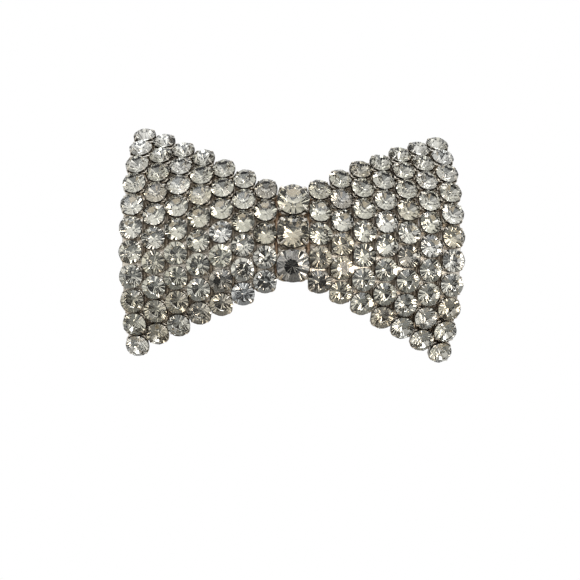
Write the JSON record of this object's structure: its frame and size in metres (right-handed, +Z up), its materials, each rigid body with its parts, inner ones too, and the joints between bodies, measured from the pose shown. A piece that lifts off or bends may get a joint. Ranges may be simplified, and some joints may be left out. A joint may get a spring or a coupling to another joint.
{
  "type": "bow brooch",
  "caption": "Domed bow brooch of clear rhinestones in claw-set cup chain, with a knot of larger stones, a wire frame and a hinged bar pin with a turning safety collar.",
  "frame": {"origin": "middle of the pin stem's round wire, where it runs through the cloth", "axes": "-Y is the face that shows, +Y points to the cloth, +Z up as worn, +X the wearer's left"},
  "size_m": [0.0638, 0.0123, 0.0444],
  "materials": {
    "clear_glass": "faceted, foil-backed, clear with a faint smoky champagne tint",
    "rhodium_plate": "aged silver-coloured plating, warm where it has worn",
    "plated_brass": "satin silver-coloured plating over brass",
    "spring_steel": "bright drawn wire"
  },
  "bodies": {
    "brooch": {"left_cup_strip_1": "rhodium_plate", "left_stones_1": "clear_glass", "left_cup_strip_2": "rhodium_plate", "left_stones_2": "clear_glass", "left_cup_strip_3": "rhodium_plate", "left_stones_3": "clear_glass", "left_cup_strip_4": "rhodium_plate", "left_stones_4": "clear_glass", "left_cup_strip_5": "rhodium_plate", "left_stones_5": "clear_glass", "left_cup_strip_6": "rhodium_plate", "left_stones_6": "clear_glass", "left_cup_strip_7": "rhodium_plate", "left_stones_7": "clear_glass", "right_cup_strip_1": "rhodium_plate", "right_stones_1": "clear_glass", "right_cup_strip_2": "rhodium_plate", "right_stones_2": "clear_glass", "right_cup_strip_3": "rhodium_plate", "right_stones_3": "clear_glass", "right_cup_strip_4": "rhodium_plate", "right_stones_4": "clear_glass", "right_cup_strip_5": "rhodium_plate", "right_stones_5": "clear_glass", "right_cup_strip_6": "rhodium_plate", "right_stones_6": "clear_glass", "right_cup_strip_7": "rhodium_plate", "right_stones_7": "clear_glass", "knot_cup_strip": "rhodium_plate", "knot_stones": "clear_glass", "upper_cross_wire": "plated_brass", "lower_cross_wire": "plated_brass", "upper_edge_wire": "plated_brass", "lower_edge_wire": "plated_brass", "left_stay": "plated_brass", "right_stay": "plated_brass", "pin_bar": "plated_brass", "hinge_bracket": "plated_brass", "hinge_rivet": "spring_steel", "catch_hook": "plated_brass"},
    "pin": {"pin_stem": "spring_steel"},
    "collar": {"safety_collar": "plated_brass"}
  },
  "joints": [
    {"name": "pin_hinge", "type": "hinge", "parent": "brooch", "child": "pin", "pos_m": [0.017, 0, 0], "axis": [0, 0, -1], "range_deg": [0, 110]},
    {"name": "collar_turn", "type": "hinge", "parent": "brooch", "child": "collar", "pos_m": [-0.0155, 0, 0], "axis": [1, 0, 0], "range_deg": [0, 150]}
  ]
}
